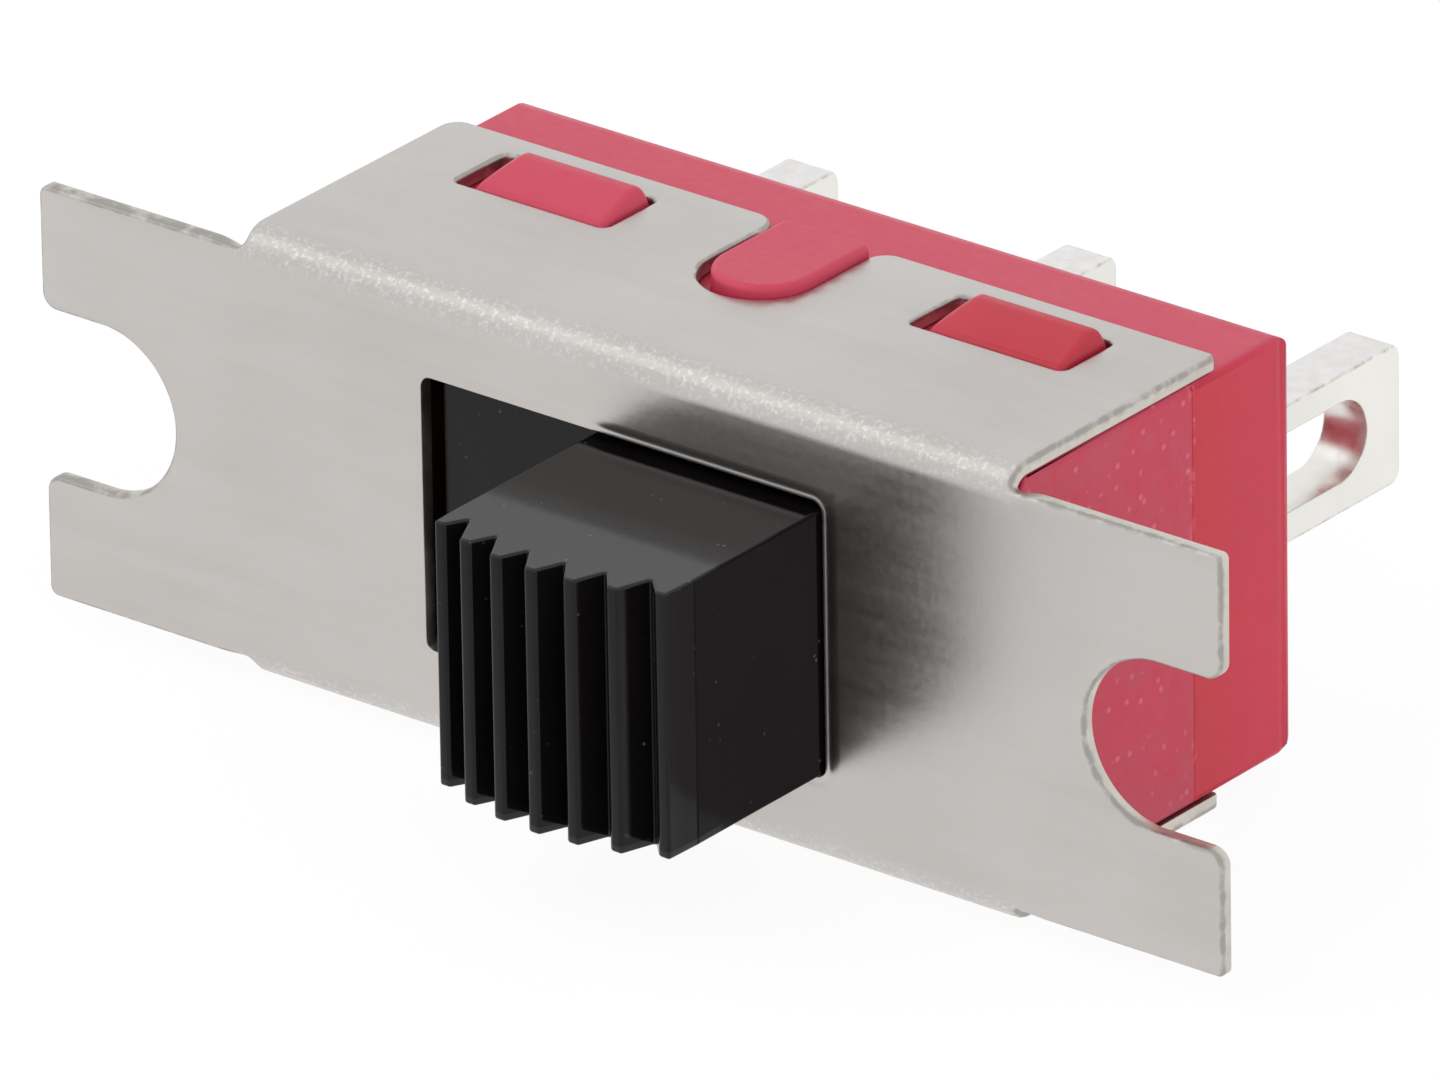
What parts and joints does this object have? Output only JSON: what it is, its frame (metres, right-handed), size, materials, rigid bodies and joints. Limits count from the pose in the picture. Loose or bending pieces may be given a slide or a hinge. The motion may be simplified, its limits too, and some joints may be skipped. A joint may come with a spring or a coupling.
{
  "type": "slide switch",
  "caption": "Panel slide switch: folded sheet bracket with open end notches, snapped-in red case, ribbed sliding knob and solder lugs.",
  "frame": {"origin": "middle of the bracket's front face, in the plane that seats against the panel", "axes": "+X along the switch, the way the knob slides to its rest end; -Y out of the panel, the way the knob points; +Z across the flanges"},
  "size_m": [0.0196, 0.0138, 0.0068],
  "materials": {
    "bracket_steel": "satin stainless sheet with a fine rolled grain",
    "red_moulding": "moulded plastic with a soft sheen",
    "black_moulding": "fine satin moulded plastic",
    "silver_plate": "satin silver plating",
    "spring_steel": "bright drawn wire",
    "natural_moulding": "natural low-friction plastic",
    "resin": "cast sealing resin"
  },
  "bodies": {
    "housing": {"bracket": "bracket_steel", "case": "red_moulding", "terminal_left": "silver_plate", "terminal_centre": "silver_plate", "terminal_right": "silver_plate", "end_contact_left": "silver_plate", "end_contact_right": "silver_plate", "terminal_seal_left": "resin", "terminal_seal_centre": "resin", "terminal_seal_right": "resin"},
    "slider": {"actuator": "black_moulding", "contact_spring": "spring_steel"},
    "plunger_pin": {"plunger": "natural_moulding"},
    "rocker": {"rocker_contact": "silver_plate"}
  },
  "joints": [
    {"name": "knob_slide", "type": "slide", "parent": "housing", "child": "slider", "axis": [1, 0, 0], "range_m": [-0.00272, 0]},
    {"name": "plunger_press", "type": "slide", "parent": "slider", "child": "plunger_pin", "axis": [0, 1, 0], "range_m": [-0.0003, 0], "stiffness_N_per_m": 200, "springref_m": 0.001, "deforming": ["contact_spring"]},
    {"name": "rocker_tilt", "type": "hinge", "parent": "housing", "child": "rocker", "pos_m": [0, 0.004, 0], "axis": [0, 0, 1], "range_deg": [-12, 0]}
  ],
  "couplings": [
    {"joint": "rocker_tilt", "follows": "knob_slide", "rad_per_m": 77}
  ]
}
